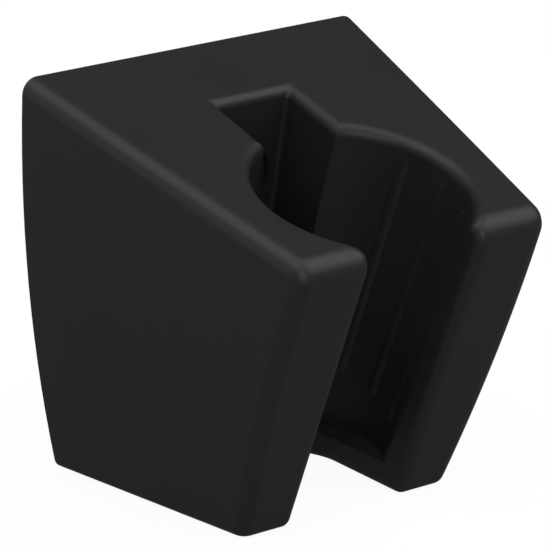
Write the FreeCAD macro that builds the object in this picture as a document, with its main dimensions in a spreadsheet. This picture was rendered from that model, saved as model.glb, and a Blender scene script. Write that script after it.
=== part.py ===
import FreeCAD
import Part
import Sketcher
import os
from math import sqrt

# Hand shower holder: one moulded block that is screwed to the wall and takes the cone of a shower
# hose in a tilted tapered seat, which is open to the front for the hose.
# Millimetres. The wall face is the plane y = 0 and the block stands out towards -Y, with +Z up.
# The origin is on the wall face, midway between the two screw holes. Inside the body, heights are
# counted from the level underside, and the body is then set down to that origin.

SIZES = {
    # outline
    "WallWidth": 50.0,
    "FootWidth": 40.5,
    "BlockHeight": 50.5,
    "BlockDepth": 46.0,
    "SideArcRadius": 192.0,
    "SideTaperAngle": 8.5,
    "TopSlopeAngle": 15.0,
    "FrontSlantAngle": 21.0,
    # rounded edges
    "SideEdgeRound": 2.1,
    "BrowEdgeRound": 2.7,
    "FootEdgeRound": 1.5,
    "OpeningEdgeRound": 1.4,
    "MouthCornerRound": 1.5,
    # tapered seat for the cone of the hose; a share is of the distance from the wall to the front's foot
    "RimPastBrow": 0.5,
    "SeatFootShare": 0.593,
    "SeatRimRadius": 13.2,
    "SeatTaperAngle": 2.8,
    "FloorThickness": 3.5,
    "MouthWidth": 16.0,
    # recess between the seat and the wall, where the screws go in
    "RecessWidth": 10.7,
    "RecessDistance": 12.2,
    "RecessFootShare": 0.15,
    "RecessCornerRound": 0.6,
    # grip ribs on the seat wall
    "RibWidth": 1.5,
    "RibHeight": 0.22,
    "RibStart": 2.9,
    "RibLength": 31.0,
    "RibSpacingAngle": 25.5,
    "RibTurnAngle": 1.8,
    # screw holes
    "UpperHoleDrop": 14.0,
    "HoleSpacing": 22.0,
    "HoleDiameter": 4.4,
    "HeadDiameter": 7.7,
    "HeadSinkDepth": 0.8,
}

# Places that follow from the sizes. Distances are counted from the wall face, heights from the underside.
TOP_SLOPE = "tan(Sizes.TopSlopeAngle)"
BROW_HEIGHT = f"(Sizes.BlockHeight - Sizes.BlockDepth * {TOP_SLOPE})"
TAPER_INSET = "(Sizes.BlockDepth * tan(Sizes.SideTaperAngle))"
SEAT_DISTANCE = "(Sizes.BlockDepth + Sizes.RimPastBrow - Sizes.SeatRimRadius)"
SEAT_HEIGHT = f"(Sizes.BlockHeight - {SEAT_DISTANCE} * {TOP_SLOPE})"
FOOT_DISTANCE = f"(Sizes.BlockDepth - {BROW_HEIGHT} * tan(Sizes.FrontSlantAngle))"
SEAT_FOOT_DISTANCE = f"({FOOT_DISTANCE} * Sizes.SeatFootShare)"
SEAT_LEAN = f"(({SEAT_DISTANCE} - {SEAT_FOOT_DISTANCE}) / {SEAT_HEIGHT})"
SEAT_TILT = f"atan({SEAT_LEAN})"
SEAT_DRAFT = "tan(Sizes.SeatTaperAngle)"
SEAT_LENGTH = f"({SEAT_HEIGHT} / cos({SEAT_TILT}))"
SEAT_FLOOR_DISTANCE = f"({SEAT_FOOT_DISTANCE} + Sizes.FloorThickness * {SEAT_LEAN})"
SEAT_FLOOR_RADIUS = f"(Sizes.SeatRimRadius - {SEAT_LENGTH} * {SEAT_DRAFT})"
RECESS_TOP = f"(Sizes.BlockHeight - Sizes.RecessDistance * {TOP_SLOPE})"
RECESS_FOOT_DISTANCE = f"({FOOT_DISTANCE} * Sizes.RecessFootShare)"
RECESS_LEAN = f"((Sizes.RecessDistance - {RECESS_FOOT_DISTANCE}) / ({RECESS_TOP} - Sizes.FloorThickness))"
RECESS_TILT = f"atan({RECESS_LEAN})"
RECESS_EDGE_ANGLE = f"(90 deg + Sizes.TopSlopeAngle * 1 deg - {RECESS_TILT})"
RECESS_SETBACK = f"(Sizes.OpeningEdgeRound / tan({RECESS_EDGE_ANGLE} / 2))"
UPPER_HOLE_HEIGHT = "(Sizes.BlockHeight - Sizes.UpperHoleDrop)"

# How far a cutting outline runs past the block, and how far an added piece laps into it.
CLEAR = 10.0
LAP = 2.0

# Tolerances for finding faces and edges by their place: radians and millimetres.
SAME_DIRECTION = 1e-4
ON_PLANE = 1e-3

doc = FreeCAD.newDocument("HandShowerHolder")
sheet = doc.addObject("Spreadsheet::Sheet", "Sizes")
for row, (size_name, size_value) in enumerate(SIZES.items(), start=1):
    sheet.set(f"A{row}", size_name)
    sheet.set(f"B{row}", str(size_value))
    sheet.setAlias(f"B{row}", size_name)
doc.recompute()

# The body that the helpers below add to: first the recess, as a solid to be cut out, then the holder.
body = doc.addObject("PartDesign::Body", "RecessShape")


def number(expression):
    """The present value of an expression in the sheet's sizes."""
    value = sheet.evalExpression(expression.replace("Sizes.", ""))
    return float(getattr(value, "Value", value))


def origin_plane(role):
    for feature in body.Origin.OriginFeatures:
        if feature.Role == role:
            return feature
    raise RuntimeError(f"no origin plane called {role}")


def new_sketch(name, support, offset=None, turn_axis=None):
    """A sketch on a plane. offset ties parts of its placement on that plane to the sheet."""
    sketch = body.newObject("Sketcher::SketchObject", name)
    sketch.AttachmentSupport = [(support, "")]
    sketch.MapMode = "FlatFace"
    place_on_plane(sketch, offset, turn_axis)
    return sketch


def place_on_plane(item, offset, turn_axis):
    if turn_axis is not None:
        start_turn = number(offset["Rotation.Angle"])
        item.AttachmentOffset = FreeCAD.Placement(
            FreeCAD.Vector(), FreeCAD.Rotation(turn_axis, start_turn))
    for path, expression in (offset or {}).items():
        item.setExpression(f".AttachmentOffset.{path}", expression)
    doc.recompute()


def bind(sketch, kind, where, expression):
    """Adds a dimension to a sketch and ties it to the sheet."""
    index = sketch.addConstraint(Sketcher.Constraint(kind, *where, number(expression)))
    sketch.setExpression(f"Constraints[{index}]", expression)


def place_point(sketch, edge, end, x, y):
    if x == "0":
        sketch.addConstraint(Sketcher.Constraint("PointOnObject", edge, end, -2))
    else:
        bind(sketch, "DistanceX", (-1, 1, edge, end), x)
    if y == "0":
        sketch.addConstraint(Sketcher.Constraint("PointOnObject", edge, end, -1))
    else:
        bind(sketch, "DistanceY", (-1, 1, edge, end), y)


def close_chain(sketch, count):
    """Joins the end of each edge to the start of the next."""
    for index in range(count):
        following = (index + 1) % count
        sketch.addConstraint(Sketcher.Constraint("Coincident", index, 2, following, 1))


def polygon(sketch, corners, first_edge_radius=None):
    """A closed outline of straight edges. Each corner is a pair of expressions.

    With a radius, the first edge is an arc instead, which bulges to the right of the way along the outline.
    """
    points = [FreeCAD.Vector(number(x), number(y), 0) for x, y in corners]
    edges = [Part.LineSegment(start, end) for start, end in zip(points, points[1:] + points[:1])]
    if first_edge_radius is not None:
        edges[0] = bulging_arc(points[0], points[1], number(first_edge_radius))
    for edge in edges:
        sketch.addGeometry(edge, False)
    if first_edge_radius is not None:
        bind(sketch, "Radius", (0,), first_edge_radius)
    close_chain(sketch, len(points))
    for index, (x, y) in enumerate(corners):
        place_point(sketch, index, 1, x, y)
    doc.recompute()


def bulging_arc(start, end, radius):
    """An arc from start to end that bulges to the right, so it runs anticlockwise round its centre."""
    chord = end - start
    left = FreeCAD.Vector(0, 0, 1).cross(chord).normalize()
    centre = (start + end) / 2 + left * sqrt(radius ** 2 - (chord.Length / 2) ** 2)
    return Part.Arc(start, centre - left * radius, end)


def bowed_outline(sketch, inset):
    """Outline with bowed sides, which pass through the ends of the foot width and the wall width.

    Both widths are narrowed by the inset on each side. The outline runs past the block's height.
    """
    foot_x = f"(Sizes.FootWidth / 2 - {inset})"
    wall_x = f"(Sizes.WallWidth / 2 - {inset})"
    low = -LAP
    high = number("Sizes.BlockHeight") + LAP
    arc_radius = number("Sizes.SideArcRadius")
    foot_point = FreeCAD.Vector(number(foot_x), 0, 0)
    wall_point = FreeCAD.Vector(number(wall_x), number("Sizes.BlockHeight"), 0)
    chord = wall_point - foot_point
    outward = chord.cross(FreeCAD.Vector(0, 0, 1)).normalize()
    rise = sqrt(arc_radius ** 2 - (chord.Length / 2) ** 2)
    centre = (foot_point + wall_point) / 2 - outward * rise

    def side_point(height, side):
        reach = centre.x + sqrt(arc_radius ** 2 - (height - centre.y) ** 2)
        return FreeCAD.Vector(side * reach, height, 0)

    middle = (low + high) / 2
    sketch.addGeometry(Part.LineSegment(side_point(low, -1), side_point(low, 1)), False)
    sketch.addGeometry(Part.Arc(side_point(low, 1), side_point(middle, 1), side_point(high, 1)), False)
    sketch.addGeometry(Part.LineSegment(side_point(high, 1), side_point(high, -1)), False)
    sketch.addGeometry(Part.Arc(side_point(high, -1), side_point(middle, -1), side_point(low, -1)), False)
    close_chain(sketch, 4)
    for line, height in ((0, f"-{LAP}"), (2, f"Sizes.BlockHeight + {LAP}")):
        sketch.addConstraint(Sketcher.Constraint("Horizontal", line))
        bind(sketch, "DistanceY", (-1, 1, line, 1), height)
    for arc, side in ((1, 1), (3, -1)):
        sign = "" if side > 0 else "-"
        for point, x, y in ((foot_point, foot_x, "0"), (wall_point, wall_x, "Sizes.BlockHeight")):
            marker = sketch.addGeometry(Part.Point(FreeCAD.Vector(side * point.x, point.y, 0)), True)
            place_point(sketch, marker, 1, f"{sign}{x}", y)
            sketch.addConstraint(Sketcher.Constraint("PointOnObject", marker, 1, arc))
        bind(sketch, "Radius", (arc,), "Sizes.SideArcRadius")
    doc.recompute()


def new_feature(kind, name, sketch, **properties):
    feature = body.newObject(f"PartDesign::{kind}", name)
    feature.Profile = sketch
    for key, value in properties.items():
        setattr(feature, key, value)
    return feature


def through_cut(name, sketch, width):
    """Cuts an outline that lies in the middle plane, half of the width to each side."""
    cut = new_feature("Pocket", name, sketch, SideType="Symmetric")
    cut.setExpression("Length", width)
    doc.recompute()
    return cut


def mirrored(name, features):
    """The same features on the other side of the middle plane."""
    other_side = body.newObject("PartDesign::Mirrored", name)
    other_side.Originals = features
    other_side.MirrorPlane = (origin_plane("YZ_Plane"), [""])
    body.Tip = other_side
    doc.recompute()
    return other_side


def borders(edge, faces):
    return any(edge.isSame(other) for face in faces for other in face.Edges)


def shared_edges(shape, first, second):
    """Names of the edges between a face of the first list and a face of the second."""
    return [f"Edge{index}" for index, edge in enumerate(shape.Edges, start=1)
            if borders(edge, first) and borders(edge, second)]


def edges_where(shape, test):
    names = []
    for index, edge in enumerate(shape.Edges, start=1):
        middle = edge.valueAt((edge.FirstParameter + edge.LastParameter) / 2)
        if test(edge, middle):
            names.append(f"Edge{index}")
    return names


def round_edges(name, base, edge_names, radius):
    fillet = body.newObject("PartDesign::Fillet", name)
    fillet.Base = (base, edge_names)
    fillet.setExpression("Radius", radius)
    doc.recompute()
    return fillet


def facing(shape, direction, test=lambda centre: True):
    """Flat faces of a shape that face a direction."""
    found = []
    for face in shape.Faces:
        if not isinstance(face.Surface, Part.Plane):
            continue
        if face.normalAt(0, 0).getAngle(direction) < SAME_DIRECTION and test(face.CenterOfMass):
            found.append(face)
    return found


def upright_walls(shape, distance):
    """Flat walls on both sides of the middle plane, at a distance from it."""
    walls = facing(shape, FreeCAD.Vector(-1, 0, 0), lambda centre: abs(centre.x - distance) < ON_PLANE)
    walls += facing(shape, FreeCAD.Vector(1, 0, 0), lambda centre: abs(centre.x + distance) < ON_PLANE)
    return walls


def seat_walls(shape):
    """The tapered wall of the seat, in as many faces as its openings leave."""
    axis = FreeCAD.Vector(0, -number(f"sin({SEAT_TILT})"), number(f"cos({SEAT_TILT})"))
    found = []
    for face in shape.Faces:
        if isinstance(face.Surface, Part.Cone):
            if abs(face.Surface.Axis.dot(axis)) > 1 - SAME_DIRECTION:
                found.append(face)
    return found


# Recess shape: the recess between the seat and the wall, down to the floor plate, with a leaning back
# wall. It widens at the top by the round of its rim, first to the back and then to both sides.
above = f"(Sizes.BlockHeight + {CLEAR})"
recess_outline = new_sketch("RecessOutline", origin_plane("YZ_Plane"))
rim_back_distance = f"(Sizes.RecessDistance - {RECESS_SETBACK} * cos(Sizes.TopSlopeAngle))"
polygon(recess_outline, [
    (f"-{rim_back_distance}", f"{RECESS_TOP} + {RECESS_SETBACK} * sin(Sizes.TopSlopeAngle)"),
    (f"-(Sizes.RecessDistance - {RECESS_SETBACK} * sin({RECESS_TILT}))",
     f"{RECESS_TOP} - {RECESS_SETBACK} * cos({RECESS_TILT})"),
    (f"-{RECESS_FOOT_DISTANCE}", "Sizes.FloorThickness"),
    (f"-{SEAT_FLOOR_DISTANCE}", "Sizes.FloorThickness"),
    (f"-({SEAT_FOOT_DISTANCE} + {above} * {SEAT_LEAN})", above),
    (f"-{rim_back_distance}", above),
], "Sizes.OpeningEdgeRound")
recess_shape = new_feature("Pad", "RecessShapePad", recess_outline, SideType="Symmetric")
recess_shape.setExpression("Length", "Sizes.WallWidth")
doc.recompute()

side_outline = new_sketch("RecessSideOutline", origin_plane("XZ_Plane"), {
    "Base.y": RECESS_TOP,
    "Base.z": "Sizes.RecessDistance",
    "Rotation.Angle": "Sizes.TopSlopeAngle",
}, FreeCAD.Vector(1, 0, 0))
polygon(side_outline, [
    ("Sizes.RecessWidth / 2 + Sizes.OpeningEdgeRound", "0"),
    ("Sizes.RecessWidth / 2", "-Sizes.OpeningEdgeRound"),
    ("Sizes.RecessWidth / 2", "-2 * Sizes.BlockHeight"),
    ("Sizes.WallWidth", "-2 * Sizes.BlockHeight"),
    ("Sizes.WallWidth", "2 * Sizes.BlockHeight"),
    ("Sizes.RecessWidth / 2 + Sizes.OpeningEdgeRound", "2 * Sizes.BlockHeight"),
], "Sizes.OpeningEdgeRound")
recess_side = through_cut("RecessRightSide", side_outline, "8 * Sizes.BlockDepth")
recess_left_side = mirrored("RecessLeftSide", [recess_side])
recess_back = FreeCAD.Vector(0, number(f"cos({RECESS_TILT})"), number(f"sin({RECESS_TILT})"))
recess_sides = facing(body.Shape, FreeCAD.Vector(1, 0, 0)) + facing(body.Shape, FreeCAD.Vector(-1, 0, 0))
recess_corners = shared_edges(body.Shape, recess_sides, facing(body.Shape, recess_back))
round_edges("RecessCornerRound", body.Tip, recess_corners, "Sizes.RecessCornerRound")
recess_body = body

body = doc.addObject("PartDesign::Body", "Holder")
body.Label = "holder"

# Block: a ruled loft from the wall outline to a narrower front outline, both with bowed sides.
wall_outline = new_sketch("WallOutline", origin_plane("XZ_Plane"))
bowed_outline(wall_outline, "0")
front_outline = new_sketch("FrontOutline", origin_plane("XZ_Plane"), {"Base.z": "Sizes.BlockDepth"})
bowed_outline(front_outline, TAPER_INSET)
block = new_feature("AdditiveLoft", "Block", wall_outline, Sections=[front_outline], Ruled=True)
doc.recompute()

# The sloping top, the slanting front and the level underside are cut from it.
slope_outline = new_sketch("SlopeOutline", origin_plane("YZ_Plane"))
polygon(slope_outline, [
    ("0", "Sizes.BlockHeight"),
    ("-Sizes.BlockDepth", BROW_HEIGHT),
    (f"-{FOOT_DISTANCE}", "0"),
    ("0", "0"),
    ("0", f"-{CLEAR}"),
    (f"-Sizes.BlockDepth - {CLEAR}", f"-{CLEAR}"),
    (f"-Sizes.BlockDepth - {CLEAR}", f"Sizes.BlockHeight + {CLEAR}"),
    ("0", f"Sizes.BlockHeight + {CLEAR}"),
])
slopes = through_cut("Slopes", slope_outline, "2 * Sizes.WallWidth")

brow_height = number(BROW_HEIGHT)
block_depth = number("Sizes.BlockDepth")
brow = round_edges("BrowRound", slopes, edges_where(
    slopes.Shape,
    lambda edge, middle: abs(middle.y + block_depth) < ON_PLANE and abs(middle.z - brow_height) < ON_PLANE,
), "Sizes.BrowEdgeRound")
sides = round_edges("SideRound", brow, edges_where(
    brow.Shape,
    lambda edge, middle: abs(middle.x) > LAP and middle.y < -ON_PLANE and middle.z > ON_PLANE,
), "Sizes.SideEdgeRound")
foot = round_edges("FootRound", sides, edges_where(
    sides.Shape,
    lambda edge, middle: abs(middle.z) < ON_PLANE and middle.y < -ON_PLANE,
), "Sizes.FootEdgeRound")

# Seat: a tapered bore about a leaning axis. Its plane holds that axis and stands on the top's slope.
seat_plane = body.newObject("PartDesign::Plane", "SeatPlane")
seat_plane.AttachmentSupport = [(origin_plane("XZ_Plane"), "")]
seat_plane.MapMode = "FlatFace"
place_on_plane(seat_plane, {
    "Base.y": SEAT_HEIGHT,
    "Base.z": SEAT_DISTANCE,
    "Rotation.Angle": SEAT_TILT,
}, FreeCAD.Vector(1, 0, 0))

seat_outline = new_sketch("SeatOutline", seat_plane)
polygon(seat_outline, [
    ("0", f"-{SEAT_LENGTH} - {CLEAR}"),
    (f"{SEAT_FLOOR_RADIUS} - {CLEAR} * {SEAT_DRAFT}", f"-{SEAT_LENGTH} - {CLEAR}"),
    (f"Sizes.SeatRimRadius + {CLEAR} * {SEAT_DRAFT}", f"{CLEAR}"),
    ("0", f"{CLEAR}"),
])
seat = new_feature("Groove", "Seat", seat_outline, ReferenceAxis=(seat_outline, ["V_Axis"]), Angle=360)
doc.recompute()

# Floor plate under the seat.
floor_outline = new_sketch("FloorOutline", origin_plane("XY_Plane"))
floor_centre = FreeCAD.Vector(0, -number(SEAT_FLOOR_DISTANCE), 0)
floor_circle = Part.Circle(floor_centre, FreeCAD.Vector(0, 0, 1), number(SEAT_FLOOR_RADIUS) + LAP)
floor_outline.addGeometry(floor_circle, False)
place_point(floor_outline, 0, 3, "0", f"-{SEAT_FLOOR_DISTANCE}")
bind(floor_outline, "Radius", (0,), f"{SEAT_FLOOR_RADIUS} + {LAP}")
floor = new_feature("Pad", "Floor", floor_outline)
floor.setExpression("Length", "Sizes.FloorThickness")
doc.recompute()

# Mouth to the front, from the seat axis outwards, through the floor plate as well.
mouth_outline = new_sketch("MouthOutline", origin_plane("YZ_Plane"))
polygon(mouth_outline, [
    (f"-Sizes.BlockDepth - {CLEAR}", f"-{CLEAR}"),
    (f"-({SEAT_FOOT_DISTANCE} - {CLEAR} * {SEAT_LEAN})", f"-{CLEAR}"),
    (f"-({SEAT_FOOT_DISTANCE} + {above} * {SEAT_LEAN})", above),
    (f"-Sizes.BlockDepth - {CLEAR}", above),
])
mouth = through_cut("Mouth", mouth_outline, "Sizes.MouthWidth")

# Round-ended slot in the floor plate, in line with the mouth.
slot_outline = new_sketch("SlotOutline", origin_plane("XY_Plane"))
half_mouth = number("Sizes.MouthWidth / 2")
seat_foot = number(SEAT_FOOT_DISTANCE)
slot_start = seat_foot + half_mouth
slot_end = FreeCAD.Vector(0, half_mouth - seat_foot, 0)
slot_corners = [
    FreeCAD.Vector(half_mouth, -seat_foot, 0),
    FreeCAD.Vector(-half_mouth, -seat_foot, 0),
    FreeCAD.Vector(-half_mouth, -slot_start, 0),
    FreeCAD.Vector(half_mouth, -slot_start, 0),
]
slot_outline.addGeometry(Part.Arc(slot_corners[0], slot_end, slot_corners[1]), False)
for start, end in zip(slot_corners[1:], slot_corners[2:] + slot_corners[:1]):
    slot_outline.addGeometry(Part.LineSegment(start, end), False)
for index in range(len(slot_corners)):
    following = (index + 1) % len(slot_corners)
    slot_outline.addConstraint(Sketcher.Constraint("Coincident", index, 2, following, 1))
slot_line = f"-{SEAT_FOOT_DISTANCE}"
slot_front_line = f"-{SEAT_FOOT_DISTANCE} - Sizes.MouthWidth / 2"
place_point(slot_outline, 0, 3, "0", slot_line)
place_point(slot_outline, 1, 1, "-Sizes.MouthWidth / 2", slot_line)
place_point(slot_outline, 2, 1, "-Sizes.MouthWidth / 2", slot_front_line)
place_point(slot_outline, 3, 1, "Sizes.MouthWidth / 2", slot_front_line)
bind(slot_outline, "DistanceY", (-1, 1, 3, 2), slot_line)
slot = through_cut("Slot", slot_outline, "2 * Sizes.FloorThickness")

# Rounds on the openings: the upright corners between the seat and the mouth, and then one round that
# runs along the whole rim, down the mouth and along the slot.
top_face = FreeCAD.Vector(0, -number("sin(Sizes.TopSlopeAngle)"), number("cos(Sizes.TopSlopeAngle)"))
mouth_corners = shared_edges(body.Shape, seat_walls(body.Shape), upright_walls(body.Shape, half_mouth))
corner_round = round_edges("MouthCornerRound", body.Tip, mouth_corners, "Sizes.MouthCornerRound")
rim = shared_edges(corner_round.Shape, seat_walls(corner_round.Shape), facing(corner_round.Shape, top_face))
rim_round = round_edges("OpeningEdgeRound", corner_round, rim[:1], "Sizes.OpeningEdgeRound")

# The recess is cut out with its rounded rim, so it meets the seat's rim in crisp corners.
recess = body.newObject("PartDesign::Boolean", "Recess")
recess.Type = "Cut"
recess.setObjects([recess_body])
doc.recompute()

# Screw holes from the recess to the wall face, each with a flat seat for the underside of the head. The
# seat is sunk below the leaning back wall of the recess, as measured at the hole's middle.
hole_heights = {
    "UpperHole": UPPER_HOLE_HEIGHT,
    "LowerHole": f"({UPPER_HOLE_HEIGHT} - Sizes.HoleSpacing)",
}
for hole_name, height in hole_heights.items():
    back_wall = f"(Sizes.RecessDistance - ({RECESS_TOP} - {height}) * {RECESS_LEAN})"
    head_seat = f"({back_wall} - Sizes.HeadSinkDepth)"
    hole_outline = new_sketch(f"{hole_name}Outline", origin_plane("YZ_Plane"), {"Base.y": height})
    polygon(hole_outline, [
        ("-Sizes.RecessDistance", "0"),
        (f"{CLEAR}", "0"),
        (f"{CLEAR}", "Sizes.HoleDiameter / 2"),
        (f"-{head_seat}", "Sizes.HoleDiameter / 2"),
        (f"-{head_seat}", "Sizes.HeadDiameter / 2"),
        ("-Sizes.RecessDistance", "Sizes.HeadDiameter / 2"),
    ])
    hole = new_feature("Groove", hole_name, hole_outline, ReferenceAxis=(hole_outline, ["H_Axis"]), Angle=360)
    doc.recompute()

# Grip ribs: three low upright ones on the seat wall's right side, turned a little to the back, and
# their mirror images. Each is a round bar that lies in the wall, so that only its crest stands out.
rib_end = "(Sizes.RibStart + Sizes.RibLength)"
crest_radius = "((Sizes.RibWidth ^ 2 / 4 + Sizes.RibHeight ^ 2) / (2 * Sizes.RibHeight))"
wall_at_start = f"(Sizes.SeatRimRadius - Sizes.RibStart * {SEAT_DRAFT})"
wall_at_end = f"(Sizes.SeatRimRadius - {rib_end} * {SEAT_DRAFT})"
ribs = []
for position in (-1, 0, 1):
    rib_angle = f"{position} * Sizes.RibSpacingAngle + Sizes.RibTurnAngle"
    rib_outline = new_sketch(
        f"RibOutline{position + 2}", seat_plane, {"Rotation.Angle": rib_angle}, FreeCAD.Vector(0, 1, 0))
    polygon(rib_outline, [
        (f"{wall_at_start} - Sizes.RibHeight + {crest_radius}", "-Sizes.RibStart"),
        (f"{wall_at_end} - Sizes.RibHeight + {crest_radius}", f"-{rib_end}"),
        (f"{wall_at_end} - Sizes.RibHeight", f"-{rib_end}"),
        (f"{wall_at_start} - Sizes.RibHeight", "-Sizes.RibStart"),
    ])
    rib = new_feature(
        "Revolution", f"Rib{position + 2}", rib_outline, ReferenceAxis=(rib_outline, ["Edge1"]), Angle=360)
    doc.recompute()
    ribs.append(rib)
left_ribs = mirrored("LeftRibs", ribs)
body.setExpression("Placement.Base.z", f"Sizes.HoleSpacing / 2 - {UPPER_HOLE_HEIGHT}")
doc.recompute()

for item in doc.Objects:
    if "Invalid" in item.State or "Error" in item.State:
        raise RuntimeError(f"{item.Label}: {item.State}")
holder = body.Shape
if holder.isNull() or not holder.isValid() or len(holder.Solids) != 1:
    raise RuntimeError("the holder is not one sound solid")
os.makedirs("parts", exist_ok=True)
holder.exportStep("parts/holder.step")
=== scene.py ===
import bpy
from math import radians
from mathutils import Euler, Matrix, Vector


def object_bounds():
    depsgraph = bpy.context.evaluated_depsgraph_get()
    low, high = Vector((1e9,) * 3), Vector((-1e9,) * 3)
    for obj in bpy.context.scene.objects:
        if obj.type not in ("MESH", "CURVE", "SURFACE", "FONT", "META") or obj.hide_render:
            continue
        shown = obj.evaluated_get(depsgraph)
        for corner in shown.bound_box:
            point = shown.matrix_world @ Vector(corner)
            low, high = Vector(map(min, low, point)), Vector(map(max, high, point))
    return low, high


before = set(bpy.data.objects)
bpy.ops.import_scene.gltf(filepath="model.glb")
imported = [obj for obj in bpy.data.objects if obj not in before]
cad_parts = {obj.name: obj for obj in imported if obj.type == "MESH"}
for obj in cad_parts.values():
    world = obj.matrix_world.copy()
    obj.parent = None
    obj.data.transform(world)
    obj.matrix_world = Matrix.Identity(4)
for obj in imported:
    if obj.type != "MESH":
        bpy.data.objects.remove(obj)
cad_box = [list(corner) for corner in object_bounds()]

# Everything is in metres in the shared frame: the wall face is y = 0 and the holder stands out to -Y.
FLOOR_HEIGHT = cad_box[0][2]
FLOOR_WIDTH = 6
HOLDER_MIDDLE = Vector((0, -0.022, 0))

# Plastic. Shades are shares of the black. The sharpest outward edges get a lighter shade, which is a
# painted highlight, and a lower roughness.
BLACK = (0.0200, 0.0200, 0.0204)
DARK_SHADE = 0.93
LIGHT_SHADE = 1.07
# Painted highlight: the lighter black on the sharpest outward edges.
PAINTED_HIGHLIGHT_SHADE = 1.3
ROUGHNESS = 0.45
ROUGHNESS_SPREAD = 0.04
POLISH = 0.06
PLASTIC_IOR = 1.48
GRAINS_PER_METRE = 2600.0
GRAIN_HEIGHT = 0.00004
GRAIN_STRENGTH = 0.12
CLOUDS_PER_METRE = 55.0
EDGE_STARTS = 0.52
EDGE_FULL = 0.62

# Studio. Floor and room are white to the camera, and give the holder only their light.
FLOOR_GREY = (0.1, 0.1, 0.1, 1)
FLOOR_ROUGHNESS = 0.9
WHITE = (1, 1, 1, 1)
FLOOR_WHITENING = 0.93
FLOOR_LIGHT = 0.1
ROOM_WHITENING = 1.0
ROOM_LIGHT = 0.06
SOFTBOXES = {
    # place, width, power in watts
    "Right softbox": ((0.5, -0.42, 0.67), 0.9, 4.1),
    "Upper left softbox": ((-0.3, 0.02, 0.76), 0.9, 3.4),
    "Front softbox": ((-0.42, -0.75, 0.3), 0.6, 1.8),
    "Left softbox": ((-0.8, 0.4, 0.0), 0.8, 1.3),
}

# Camera, as fitted to the photo. Lens and sensor are in millimetres, the turn in degrees.
CAMERA_PLACE = (-0.28831, -0.38641, 0.16501)
CAMERA_TURN = (70.637, -0.910, -37.646)
CAMERA_LENS = 270.42
CAMERA_SENSOR = 36
CAMERA_NEAREST = 0.01


def new_group(name, inputs, outputs):
    """A node group. Inputs and outputs map the name of each socket to its kind."""
    group = bpy.data.node_groups.new(name, "ShaderNodeTree")
    for label, kind in inputs.items():
        group.interface.new_socket(name=label, in_out="INPUT", socket_type=kind)
    for label, kind in outputs.items():
        group.interface.new_socket(name=label, in_out="OUTPUT", socket_type=kind)
    return group, group.nodes.new("NodeGroupInput"), group.nodes.new("NodeGroupOutput")


def moulded_grain():
    """Fine spark-eroded grain as a height, and a slow cloudy value for the shine and the colour."""
    group, given, result = new_group(
        "Moulded grain",
        {"Place": "NodeSocketVector", "Grains per metre": "NodeSocketFloat"},
        {"Height": "NodeSocketFloat", "Cloud": "NodeSocketFloat"},
    )
    nodes, links = group.nodes, group.links
    grain = nodes.new("ShaderNodeTexNoise")
    grain.inputs["Detail"].default_value = 2.0
    grain.inputs["Roughness"].default_value = 0.55
    links.new(given.outputs["Place"], grain.inputs["Vector"])
    links.new(given.outputs["Grains per metre"], grain.inputs["Scale"])
    links.new(grain.outputs["Fac"], result.inputs["Height"])
    cloud = nodes.new("ShaderNodeTexNoise")
    cloud.inputs["Scale"].default_value = CLOUDS_PER_METRE
    cloud.inputs["Detail"].default_value = 4.0
    links.new(given.outputs["Place"], cloud.inputs["Vector"])
    links.new(cloud.outputs["Fac"], result.inputs["Cloud"])
    return group


def painted_highlight_and_gloss_edges():
    """A mask of the sharpest outward bends, broken up by the cloud. It paints a highlight there and
    lowers the roughness.
    """
    group, given, result = new_group(
        "Painted highlight and gloss edges",
        {"Cloud": "NodeSocketFloat"},
        {"Mask": "NodeSocketFloat"},
    )
    nodes, links = group.nodes, group.links
    bend = nodes.new("ShaderNodeNewGeometry")
    limits = nodes.new("ShaderNodeMapRange")
    limits.inputs["From Min"].default_value = EDGE_STARTS
    limits.inputs["From Max"].default_value = EDGE_FULL
    links.new(bend.outputs["Pointiness"], limits.inputs["Value"])
    broken = nodes.new("ShaderNodeMath")
    broken.operation = "MULTIPLY"
    links.new(limits.outputs["Result"], broken.inputs[0])
    links.new(given.outputs["Cloud"], broken.inputs[1])
    links.new(broken.outputs["Value"], result.inputs["Mask"])
    return group


def shade(share):
    """The black at a share of its brightness."""
    return (*(channel * share for channel in BLACK), 1)


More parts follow.
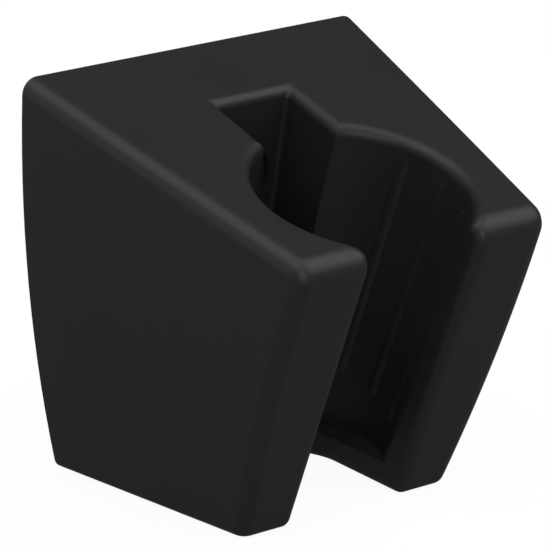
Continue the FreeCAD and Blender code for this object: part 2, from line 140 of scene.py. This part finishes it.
def black_plastic():
    """Matt black moulding with a fine grain, faint cloudiness, and a painted highlight with lower
    roughness on the sharpest outward edges.
    """
    material = bpy.data.materials.new("Matt black moulding")
    material.use_nodes = True
    nodes, links = material.node_tree.nodes, material.node_tree.links
    shader = nodes["Principled BSDF"]
    shader.inputs["IOR"].default_value = PLASTIC_IOR

    place = nodes.new("ShaderNodeTexCoord")
    grain = nodes.new("ShaderNodeGroup")
    grain.node_tree = moulded_grain()
    grain.inputs["Grains per metre"].default_value = GRAINS_PER_METRE
    links.new(place.outputs["Object"], grain.inputs["Place"])
    edges = nodes.new("ShaderNodeGroup")
    edges.node_tree = painted_highlight_and_gloss_edges()
    links.new(grain.outputs["Cloud"], edges.inputs["Cloud"])

    tint = nodes.new("ShaderNodeMix")
    tint.data_type = "RGBA"
    tint.inputs["A"].default_value = shade(DARK_SHADE)
    tint.inputs["B"].default_value = shade(LIGHT_SHADE)
    links.new(grain.outputs["Cloud"], tint.inputs["Factor"])
    # Painted highlight: the edges are mixed towards a lighter black.
    painted_highlight = nodes.new("ShaderNodeMix")
    painted_highlight.data_type = "RGBA"
    painted_highlight.inputs["B"].default_value = shade(PAINTED_HIGHLIGHT_SHADE)
    links.new(edges.outputs["Mask"], painted_highlight.inputs["Factor"])
    links.new(tint.outputs["Result"], painted_highlight.inputs["A"])
    links.new(painted_highlight.outputs["Result"], shader.inputs["Base Color"])

    dull = nodes.new("ShaderNodeMapRange")
    dull.inputs["To Min"].default_value = ROUGHNESS - ROUGHNESS_SPREAD
    dull.inputs["To Max"].default_value = ROUGHNESS + ROUGHNESS_SPREAD
    links.new(grain.outputs["Cloud"], dull.inputs["Value"])
    polished = nodes.new("ShaderNodeMath")
    polished.operation = "MULTIPLY_ADD"
    polished.inputs[1].default_value = -POLISH
    links.new(edges.outputs["Mask"], polished.inputs[0])
    links.new(dull.outputs["Result"], polished.inputs[2])
    links.new(polished.outputs["Value"], shader.inputs["Roughness"])

    bump = nodes.new("ShaderNodeBump")
    bump.inputs["Strength"].default_value = GRAIN_STRENGTH
    bump.inputs["Distance"].default_value = GRAIN_HEIGHT
    links.new(grain.outputs["Height"], bump.inputs["Height"])
    links.new(bump.outputs["Normal"], shader.inputs["Normal"])
    return material


def strength_by_ray(tree, for_camera, for_light):
    """A strength that is one value for what the camera sees and another for what lights the holder."""
    path = tree.nodes.new("ShaderNodeLightPath")
    strength = tree.nodes.new("ShaderNodeMapRange")
    strength.inputs["To Min"].default_value = for_light
    strength.inputs["To Max"].default_value = for_camera
    tree.links.new(path.outputs["Is Camera Ray"], strength.inputs["Value"])
    return strength.outputs["Result"]


def add_floor():
    """A floor that the camera sees as white, with the holder's faint shadow on it."""
    bpy.ops.mesh.primitive_plane_add(size=FLOOR_WIDTH, location=(0, 0, FLOOR_HEIGHT))
    floor = bpy.context.object
    floor.name = "Floor"
    material = bpy.data.materials.new("Studio floor")
    material.use_nodes = True
    tree = material.node_tree
    shader = tree.nodes["Principled BSDF"]
    shader.inputs["Base Color"].default_value = FLOOR_GREY
    shader.inputs["Roughness"].default_value = FLOOR_ROUGHNESS
    shader.inputs["Emission Color"].default_value = WHITE
    strength = strength_by_ray(tree, FLOOR_WHITENING, FLOOR_LIGHT)
    tree.links.new(strength, shader.inputs["Emission Strength"])
    floor.data.materials.append(material)


def add_world():
    """A dim room that the camera sees as plain white."""
    world = bpy.data.worlds.new("Studio")
    bpy.context.scene.world = world
    world.use_nodes = True
    tree = world.node_tree
    room = tree.nodes["Background"]
    room.inputs["Color"].default_value = WHITE
    strength = strength_by_ray(tree, ROOM_WHITENING, ROOM_LIGHT)
    tree.links.new(strength, room.inputs["Strength"])


def add_softbox(name, place, width, power):
    """A square lamp that faces the holder."""
    data = bpy.data.lights.new(name, "AREA")
    data.shape = "SQUARE"
    data.size = width
    data.energy = power
    lamp = bpy.data.objects.new(name, data)
    bpy.context.scene.collection.objects.link(lamp)
    lamp.location = place
    lamp.rotation_euler = (HOLDER_MIDDLE - Vector(place)).to_track_quat("-Z", "Y").to_euler()


def add_camera():
    data = bpy.data.cameras.new("Photo camera")
    data.lens = CAMERA_LENS
    data.sensor_width = CAMERA_SENSOR
    data.clip_start = CAMERA_NEAREST
    camera = bpy.data.objects.new("Photo camera", data)
    bpy.context.scene.collection.objects.link(camera)
    camera.location = CAMERA_PLACE
    camera.rotation_euler = Euler([radians(turn) for turn in CAMERA_TURN], "XYZ")
    bpy.context.scene.camera = camera


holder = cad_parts["holder"]
holder.data.materials.clear()
holder.data.materials.append(black_plastic())

add_floor()
add_world()
for name, (place, width, power) in SOFTBOXES.items():
    add_softbox(name, place, width, power)
add_camera()
bpy.context.scene.view_settings.view_transform = "Standard"
